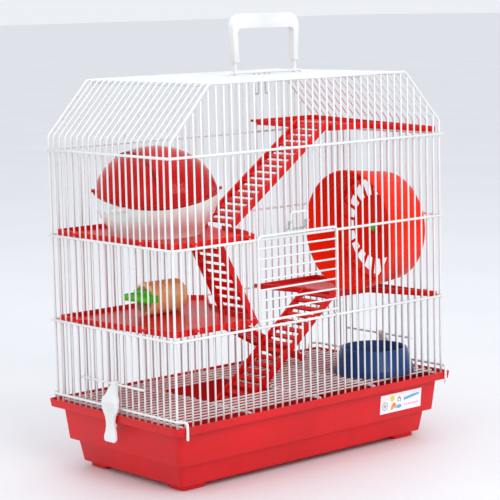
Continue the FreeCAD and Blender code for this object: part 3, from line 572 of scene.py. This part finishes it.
def wirework():
    for node in ("front_bars", "back_bars"):
        straight_wires(node.replace("bars", "upright_bars"), node)
    for node in ("front_belts", "back_belts", "left_belts", "right_belts"):
        straight_wires(node.replace("belts", "belt_wires"), node, sides=14)
    straight_wires("roof_carrier_wires", "roof_cross_wires", sides=12)
    straight_wires("left_clip_wire", "left_clip_bar", sides=12)
    straight_wires("right_clip_wire", "right_clip_bar", sides=12)
    outline_wire("front_outline", "front_outline_wire")
    outline_wire("back_outline", "back_outline_wire")
    wrapped_bars()
    hold_down_wire("left_hold_down", "left_hold_down_wire")
    hold_down_wire("right_hold_down", "right_hold_down_wire")
    wire_nodes = ("_bars", "_belts", "_wires", "_clip_bar", "hold_down_wire", "outline_wire")
    axes = {n: straight_axes(n) for n in nodes if n.endswith(wire_nodes)}
    weld_beads("weld_beads", (
        (axes["front_belts"], axes["front_bars"] + axes["front_outline_wire"]),
        (axes["back_belts"], axes["back_bars"] + axes["back_outline_wire"]),
        (axes["left_belts"] + axes["left_hold_down_wire"] + axes["left_clip_bar"],
         axes["left_end_bars"]),
        (axes["right_belts"] + axes["right_hold_down_wire"] + axes["right_clip_bar"],
         axes["right_end_bars"]),
        (axes["roof_cross_wires"], axes["roof_bars"]),
        (axes["floor_grille_cross_wires"], axes["floor_grille_wires"]),
    ))


def floor_grille():
    straight_wires("grille_fine_wires", "floor_grille_wires")
    straight_wires("grille_cross_wires", "floor_grille_cross_wires", sides=12)


# ---------------------------------------------------------------- door
# Places and wire radii are in mm and follow the CAD's wires.
DOOR_LEFT = -92.0
DOOR_RIGHT = 29.0
DOOR_Y = -115.9
DOOR_FOOT = 181.5
DOOR_HEAD = 276.4
BELT_Y = -112.65
BELT_Z = 173.7
LATCH_LEFT = -42.0
LATCH_RIGHT = -17.0
LATCH_FOOT = 278.5
LATCH_HEAD = 299.0
SPRING_Y = -112.05
SPRING_Z = 280.0
SLEEVE_Z = 288.0
DOOR_WIRE = 1.5
EYE_WIRE = 0.9
EYE_RADIUS = 2.5
EYE_LENGTH = 2.4
LATCH_WIRE = 1.1
SPRING_WIRE = 0.9
SPRING_OVERHANG = 3
SLEEVE_WIRE = 0.5
SLEEVE_RADIUS = 1.75
SLEEVE_LENGTH = 2.6
SLEEVE_LINK_WIRE = 0.7
COIL_STEPS = 14


def coil(centre, axis, radius, length, turns):
    """A helix round an axis through centre."""
    along = Vector(axis).normalized()
    normal = Vector((0, 0, 1)) if abs(along.z) < 0.5 else Vector((0, 1, 0))
    side = along.cross(normal)
    path = []
    for i in range(int(COIL_STEPS * turns) + 1):
        a = 2 * math.pi * i / COIL_STEPS
        shift = along * length * (i / (COIL_STEPS * turns) - 0.5)
        path.append(centre + shift + (normal * math.cos(a) + side * math.sin(a)) * radius)
    return path


def bow(left, right, foot, head, bend):
    """A wire bent up, across and down in the door's plane."""
    corners = [mm(left, DOOR_Y, foot), mm(left, DOOR_Y, head),
               mm(right, DOOR_Y, head), mm(right, DOOR_Y, foot)]
    return rounded(corners, bend * MM)


def door():
    """The door with its two hinge eyes and bars, the sliding latch and the latch's wire."""
    sill = [mm(DOOR_LEFT, DOOR_Y, DOOR_FOOT), mm(DOOR_RIGHT, DOOR_Y, DOOR_FOOT)]
    paths = [(bow(DOOR_LEFT, DOOR_RIGHT, DOOR_FOOT, DOOR_HEAD, 5), DOOR_WIRE * MM),
             (sill, DOOR_WIRE * MM)]
    for x in (DOOR_LEFT, DOOR_RIGHT):
        eye = coil(mm(x, BELT_Y, BELT_Z), (1, 0, 0), EYE_RADIUS * MM, EYE_LENGTH * MM, 2.0)
        side = x + EYE_LENGTH / 2
        leg = [mm(side, DOOR_Y, DOOR_FOOT - 1), mm(side, DOOR_Y + 0.4, BELT_Z + 4), eye[-1]]
        paths += [(eye, EYE_WIRE * MM), (leg, EYE_WIRE * MM)]
    wires("door_wire_frame", paths, "door", ("door_frame",), sides=14)
    straight_wires("door_cross_bars", "door_bars", "door")
    latch = bow(LATCH_LEFT, LATCH_RIGHT, LATCH_FOOT, LATCH_HEAD, 4)
    wires("latch_bow", [(latch, LATCH_WIRE * MM)], "door_latch", ("door_latch",), sides=12)
    spring = [([mm(LATCH_LEFT - SPRING_OVERHANG, SPRING_Y, SPRING_Z),
                mm(LATCH_RIGHT + SPRING_OVERHANG, SPRING_Y, SPRING_Z)], SPRING_WIRE * MM)]
    for x in (LATCH_LEFT, LATCH_RIGHT):
        post = [mm(x, SPRING_Y, SPRING_Z), mm(x, SPRING_Y, SLEEVE_Z + 1)]
        sleeve = coil(mm(x, DOOR_Y, SLEEVE_Z), (0, 0, 1), SLEEVE_RADIUS * MM, SLEEVE_LENGTH * MM, 3.0)
        link = [mm(x, SPRING_Y, SLEEVE_Z), mm(x, DOOR_Y + 1.8, SLEEVE_Z)]
        spring += [(post, SPRING_WIRE * MM), (sleeve, SLEEVE_WIRE * MM), (link, SLEEVE_LINK_WIRE * MM)]
    wires("latch_wire_guides", spring, "cage", ("latch_spring_wire",), ZINC, 12)


# ---------------------------------------------------------------- turned and moulded things
BOWL_RIM = 40.4 * MM
BOWL_BASE = 49.0 * MM
BOWL_FLOOR = 5 * MM
LOG_ROUND = 4 * MM
LOG_UNEVEN = 0.006
LOG_LOBES = 3
LOG_TWIST = 40
END_FACE = 0.94


def turned(name, node, profile, centre, axis, materials, body, steps):
    """One turned piece in place of a node."""
    bm = bmesh.new()
    spin(bm, profile, centre, axis, steps)
    piece(name, to_mesh(name, bm), materials, body, (node,), 40)


def bowl():
    low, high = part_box("food_bowl")
    centre = Vector(((low.x + high.x) / 2, (low.y + high.y) / 2, low.z))
    top = high.z - low.z
    outline = [(BOWL_RIM - 12 * MM, BOWL_FLOOR), (BOWL_RIM - 6 * MM, 10 * MM),
               (BOWL_RIM - 3.2 * MM, top), (BOWL_RIM, top), (BOWL_RIM + 1 * MM, top - 3 * MM),
               (BOWL_BASE - 1.2 * MM, 9 * MM), (BOWL_BASE - 0.4 * MM, 7.5 * MM), (BOWL_BASE, 0.0)]
    soft = soft_profile(outline, 2.2 * MM)
    profile = [(BOWL_FLOOR, 0.0)] + [(z, r) for r, z in soft] + [(0.0, 0.0)]
    turned("bowl_body", "food_bowl", profile, centre, UP, [NAVY], "food_bowl", 96)


def log():
    """A turned log with softened ends; the cut faces carry their own grain."""
    low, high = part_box("chew_log")
    centre = (low + high) / 2
    half = (high.x - low.x) / 2
    radius = (high.z - low.z) / 2
    outline = [(-half, 0.0), (-half, radius - LOG_ROUND), (-half + LOG_ROUND, radius),
               (half - LOG_ROUND, radius), (half, radius - LOG_ROUND), (half, 0.0)]
    bm = bmesh.new()
    spin(bm, soft_profile(outline, 3.2 * MM, 6), centre, RIGHT, 72)
    for v in bm.verts:
        away = Vector((0, v.co.y - centre.y, v.co.z - centre.z))
        turn = math.atan2(away.z, away.y)
        v.co -= away * LOG_UNEVEN * (1 + math.sin(LOG_LOBES * turn + LOG_TWIST * v.co.x))
    made = piece("log_body", to_mesh("log_body", bm), [wood(centre), end_grain(centre)], "cage",
                 ("chew_log",), 50)
    for face in made.data.polygons:
        face.material_index = 1 if abs(face.normal.x) > END_FACE else 0


WHEEL_AXIS = mm(0, -25.5, 254)
DRUM_MOUTH_X = 134.5
DRUM_MOUTH_R = 74.0
DRUM_TAPER = 6.5 / 66
DRUM_WALL = 2.0
GRIP_RIBS = (143, 150, 157, 164, 171, 178)
GRIP_RIB_SECTION = ((-0.6, 0.2), (-0.4, -0.9), (0.4, -0.9), (0.6, 0.2))


def wheel():
    """The drum, the low ribs inside it, the hub's cap and the axle."""
    softened("wheel_shell", "wheel_drum", WHEEL_RED, "wheel", "red_wheel_plastic", 0.4)
    bm = bmesh.new()
    for x in GRIP_RIBS:
        inner = DRUM_MOUTH_R - (x - DRUM_MOUTH_X) * DRUM_TAPER - DRUM_WALL
        profile = [((x + along) * MM, (inner + out) * MM) for along, out in GRIP_RIB_SECTION]
        spin(bm, profile, WHEEL_AXIS, RIGHT, 96, True)
    piece("wheel_grip_ribs", to_mesh("wheel_grip_ribs", bm), [WHEEL_RED], "wheel")
    low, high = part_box("wheel_hub_cap")
    radius = (high.z - low.z) / 2
    outline = [(low.x, 0.0), (low.x, 0.5 * radius), (low.x + 2 * MM, 0.86 * radius),
               (high.x - 1 * MM, radius), (high.x, radius), (high.x, 0.0)]
    turned("hub_button", "wheel_hub_cap", soft_profile(outline, 1.2 * MM), WHEEL_AXIS, RIGHT, [GREEN],
           "wheel", 40)
    low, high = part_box("wheel_axle")
    radius = (high.z - low.z) / 2
    outline = [(low.x, 0.0), (low.x, radius), (high.x, radius), (high.x, 0.0)]
    turned("axle_pin", "wheel_axle", soft_profile(outline, 0.3 * MM), WHEEL_AXIS, RIGHT, [ZINC], "cage",
           32)


# The house's middle, half widths, lid rim and turn, as in the CAD; places are in mm.
HOUSE_X = -136.0
HOUSE_Y = 7.0
HOUSE_RX = 66.0
HOUSE_RY = 76.0
HOUSE_RIM = 318.0
HOUSE_TURN = math.radians(-41)
SEAM_DROP = 9
SEAM_RISE = 14
TRIM_LIFT = 1.1
TRIM_STEPS = 120
TRIM_SECTION = ((-2.5, 0.0), (1.0, 0.0), (1.7, 0.6), (1.7, 1.8), (1.0, 2.4), (-2.5, 2.6))
TAB_LOW = mm(66, -6, 1.2)
TAB_HIGH = mm(75, 6, 4.2)
# Rays that find the crease start on a slanting arc over the lid and aim at one point inside it.
CREASE_AIM = mm(-165, 0, HOUSE_RIM)
CREASE_X = -168.72
CREASE_SLANT = 0.186
CREASE_REACH = 62
CREASE_HEIGHT = 70
CREASE_STEPS = 40
CREASE_START = 12
CREASE_SWEEP = 156


def lid_crease():
    """The crease that runs over the lid from front to back, laid on the lid's surface."""
    bm = welded_copy("house_lid")
    tree = BVHTree.FromBMesh(bm)
    bm.free()
    path = []
    for k in range(CREASE_STEPS):
        a = math.radians(CREASE_START + CREASE_SWEEP * k / (CREASE_STEPS - 1))
        y = -CREASE_REACH * math.cos(a)
        start = mm(CREASE_X + CREASE_SLANT * y, y, HOUSE_RIM + CREASE_HEIGHT * math.sin(a))
        hit = tree.ray_cast(start, (CREASE_AIM - start).normalized())[0]
        if hit:
            path.append(hit)
    return path


def trim_ring(bm):
    """The band round the lid's foot, which follows the seam."""
    rings = []
    for k in range(TRIM_STEPS):
        a = 2 * math.pi * k / TRIM_STEPS
        c, s = math.cos(a), math.sin(a)
        reach = 1 / math.hypot(c / HOUSE_RX, s / HOUSE_RY)
        share = reach * math.cos(a - HOUSE_TURN) / (HOUSE_RX + 10)
        seam = HOUSE_RIM - SEAM_DROP + SEAM_RISE * share * share + TRIM_LIFT
        section = [(reach + out, seam + lift) for out, lift in TRIM_SECTION]
        rings.append([bm.verts.new(mm(HOUSE_X + r * c, HOUSE_Y + r * s, z)) for r, z in section])
    for k in range(TRIM_STEPS):
        bridge(bm, rings[k], rings[(k + 1) % TRIM_STEPS])


def house():
    """The house's base and lid, with the band, the two tabs and the crease on the lid, darkened with
    painted shade.
    """
    softened("house_shell", "house_base", IVORY, "cage", "ivory_plastic", 0.6, 3)
    softened("house_roof", "house_lid", LID_RED, "house_lid", "dark_red_plastic", 0.7, 3)
    bm = bmesh.new()
    trim_ring(bm)
    middle = Matrix.Translation(mm(HOUSE_X, HOUSE_Y, HOUSE_RIM - SEAM_DROP + SEAM_RISE))
    for turn in (HOUSE_TURN, HOUSE_TURN + math.pi):
        add_block(bm, TAB_LOW, TAB_HIGH, 1.0 * MM, middle @ Matrix.Rotation(turn, 4, "Z"))
    piece("house_roof_trim", to_mesh("house_roof_trim", bm), [LID_RED], "house_lid")
    # the crease wire carries painted shade, a dark red standing in for the shade in the crease
    wires("house_roof_crease", [(lid_crease(), 1.5 * MM)], "house_lid", (), PAINTED_CREASE_SHADE)


# ---------------------------------------------------------------- label
CIRCLE_STEPS = 28


def circle(cx, cy, radius, aspect=1.0, turn=0.0):
    """Points of a circle, or of an ellipse that is turned by turn."""
    points = []
    c, s = math.cos(turn), math.sin(turn)
    for k in range(CIRCLE_STEPS):
        a = 2 * math.pi * k / CIRCLE_STEPS
        x = radius * math.cos(a) * aspect
        y = radius * math.sin(a)
        points.append((cx + x * c - y * s, cy + x * s + y * c))
    return points


def sticker():
    """A vinyl sheet on the tray's front with a few plain pictograms and no lettering."""
    cloud = [v.co.copy() for v in nodes["tray_label"].data.vertices]
    low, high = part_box("tray_label")

    def corner(x, z):
        near = [p for p in cloud if abs(p.x - x) < MM and abs(p.z - z) < 2 * MM]
        return min(near, key=lambda p: p.y)

    foot = corner(low.x, low.z)
    head = corner(low.x, high.z)
    width = (high.x - low.x) / MM
    height = (head - foot).length / MM
    up = (head - foot).normalized()
    out = RIGHT.cross(up)
    # Each layer is (lift, ink, outline in mm), in order: sheet, wheel, ball, two leaves, dish, hut with
    # its door, ramp, row of dots, and the wheel's spokes.
    layers = [
        (0.00, PAPER, [(0, 0), (width, 0), (width, height), (0, height)]),
        (0.02, PRINT_GREY, circle(8, 9, 5.4)),
        (0.04, PAPER, circle(8, 9, 4.5)),
        (0.02, PRINT_YELLOW, circle(20, 17, 3.6)),
        (0.02, PRINT_ORANGE, circle(21, 7, 4.6, 0.5, -0.35)),
        (0.02, PRINT_ORANGE, circle(25, 8, 4.0, 0.5, 0.35)),
        (0.02, PRINT_BLUE, circle(32, 6, 2.4, 1.9)),
        (0.02, PRINT_GREY, [(29, 12), (35, 12), (35, 16), (32, 19), (29, 16)]),
        (0.04, PAPER, circle(32, 14, 1.5)),
        (0.02, PRINT_BLUE, [(40, 12), (66, 16), (66, 18.5), (53, 17.5), (40, 15.5)]),
    ]
    layers += [(0.02, PRINT_PINK, circle(42 + 3.6 * k, 6.5, 1.2)) for k in range(7)]
    for k in range(6):
        a = math.pi * k / 6
        c, n = math.cos(a), math.sin(a)
        spoke = [(8 + 4.6 * c * e - 0.25 * n * f, 9 + 4.6 * n * e + 0.25 * c * f)
                 for e, f in ((-1, -1), (1, -1), (1, 1), (-1, 1))]
        layers.append((0.05, PRINT_GREY, spoke))
    inks = [PAPER, PRINT_YELLOW, PRINT_BLUE, PRINT_ORANGE, PRINT_GREY, PRINT_PINK]
    bm = bmesh.new()
    for lift, ink, outline in layers:
        base = foot + out * (lift * MM)
        face = bm.faces.new([bm.verts.new(base + RIGHT * (a * MM) + up * (b * MM)) for a, b in outline])
        face.material_index = inks.index(ink)
    mesh = bpy.data.meshes.new("front_sticker")
    bm.to_mesh(mesh)
    bm.free()
    piece("front_sticker", mesh, inks, "cage", ("tray_label",))


# ---------------------------------------------------------------- stage
CAMERA_AT = Vector((-1.4385, -1.6315, 0.5359))
CAMERA_AZIMUTH = -41.36
CAMERA_ELEVATION = 7.69
CAMERA_ROLL = 1.31
CAMERA_LENS = 133.46
CAMERA_SENSOR = 36.0
LIGHT_AIM = Vector((0, 0, 0.24))
FLOOR_HALF = 40.0


def camera():
    """The photo's camera, solved from the cage's straight edges."""
    azimuth = math.radians(CAMERA_AZIMUTH)
    tilt = math.radians(CAMERA_ELEVATION)
    roll = math.radians(CAMERA_ROLL)
    level = Vector((math.cos(azimuth), math.sin(azimuth), 0))
    onward = Vector((-math.sin(azimuth), math.cos(azimuth), 0))
    ahead = onward * math.cos(tilt) - UP * math.sin(tilt)
    above = level.cross(ahead)
    right = level * math.cos(roll) - above * math.sin(roll)
    up = right.cross(ahead)
    data = bpy.data.cameras.new("camera")
    data.lens = CAMERA_LENS
    data.sensor_width = CAMERA_SENSOR
    made = bpy.data.objects.new("camera", data)
    facing = Matrix((right, up, -ahead)).transposed().to_4x4()
    made.matrix_world = Matrix.Translation(CAMERA_AT) @ facing
    bpy.context.scene.collection.objects.link(made)
    bpy.context.scene.camera = made


def area_light(name, place, size, power):
    data = bpy.data.lights.new(name, "AREA")
    data.shape = "RECTANGLE"
    data.size, data.size_y = size
    data.energy = power
    made = bpy.data.objects.new(name, data)
    made.location = place
    made.rotation_euler = (LIGHT_AIM - Vector(place)).to_track_quat("-Z", "Y").to_euler()
    bpy.context.scene.collection.objects.link(made)


def studio():
    """A pale floor, a bright even room and three soft boxes."""
    s = Shader("pale floor")
    cloud = s.noise(3.0, 3.0)
    s.colour(s.mix(s.ramp(cloud, 0.3, 0.7), (0.83, 0.835, 0.86), (0.86, 0.865, 0.885)))
    s.rough(s.ramp(s.noise(240.0, 4.0), 0.3, 0.7, 0.5, 0.62))
    bm = bmesh.new()
    bmesh.ops.create_grid(bm, x_segments=8, y_segments=8, size=FLOOR_HALF)
    floor = bpy.data.objects.new("floor", to_mesh("floor", bm))
    floor.data.materials.append(s.material)
    bpy.context.scene.collection.objects.link(floor)
    world = bpy.data.worlds.new("room")
    bpy.context.scene.world = world
    world.use_nodes = True
    background = world.node_tree.nodes["Background"]
    background.inputs["Color"].default_value = (0.85, 0.87, 0.91, 1.0)
    background.inputs["Strength"].default_value = 1.0
    area_light("key", (-0.4, -2.3, 1.7), (1.6, 1.2), 27)
    area_light("fill", (-2.4, -0.3, 1.2), (1.4, 1.4), 6)
    area_light("top", (0.3, 0.4, 2.4), (2.2, 1.8), 9)
    bpy.context.scene.view_settings.view_transform = "Standard"


# ---------------------------------------------------------------- the scene
camera()
studio()
wirework()
floor_grille()

# Piece, node, material, body, slot and the width of the rounding in mm.
SOFT = (
    ("tray_shell", "tray", TRAY_RED, "cage", "red_tray_plastic", 1.0),
    ("tray_corner_feet", "tray_feet", TRAY_RED, "cage", "red_tray_plastic", 1.0),
    ("upper_left_deck", "upper_left_shelf", SHELF_RED, "cage", "red_shelf_plastic", 0.7),
    ("lower_left_deck", "lower_left_shelf", SHELF_RED, "cage", "red_shelf_plastic", 0.7),
    ("middle_right_deck", "middle_right_shelf", SHELF_RED, "cage", "red_shelf_plastic", 0.7),
    ("top_right_deck", "top_right_shelf", SHELF_RED, "cage", "red_shelf_plastic", 0.7),
    ("upper_ramp", "upper_ladder", SHELF_RED, "cage", "red_shelf_plastic", 0.6),
    ("left_ramp", "left_ladder", SHELF_RED, "cage", "red_shelf_plastic", 0.6),
    ("lower_ramp", "lower_ladder", SHELF_RED, "cage", "red_shelf_plastic", 0.6),
    ("hatch_ramp", "hatch_ladder", SHELF_RED, "cage", "red_shelf_plastic", 0.6),
    ("handle_arch", "carry_handle", WHITE, "carry_handle", "white_plastic", 1.6),
    ("left_clip_body", "left_clip", WHITE, "left_clip", "white_plastic", 0.5),
    ("right_clip_body", "right_clip", WHITE, "right_clip", "white_plastic", 0.5),
    ("wheel_mount_inner", "wheel_inner_plate", WHEEL_RED, "cage", "red_wheel_plastic", 0.8),
    ("wheel_mount_outer", "wheel_outer_plate", WHEEL_RED, "cage", "red_wheel_plastic", 0.6),
    ("chew_comb_body", "chew_comb", GREEN, "cage", "green_plastic", 0.6),
    ("house_catch_lever", "house_catch", WHITE, "cage", "white_plastic", 0.8),
)
for row in SOFT:
    softened(*row)

door()
bowl()
log()
wheel()
house()
sticker()
softened("handle_pivot", "handle_rod", WIRE, "cage", "white_coated_wire", 0.3)
softened("hook_wire", "roof_hook", ZINC, "cage", "zinc_wire", 0.1)
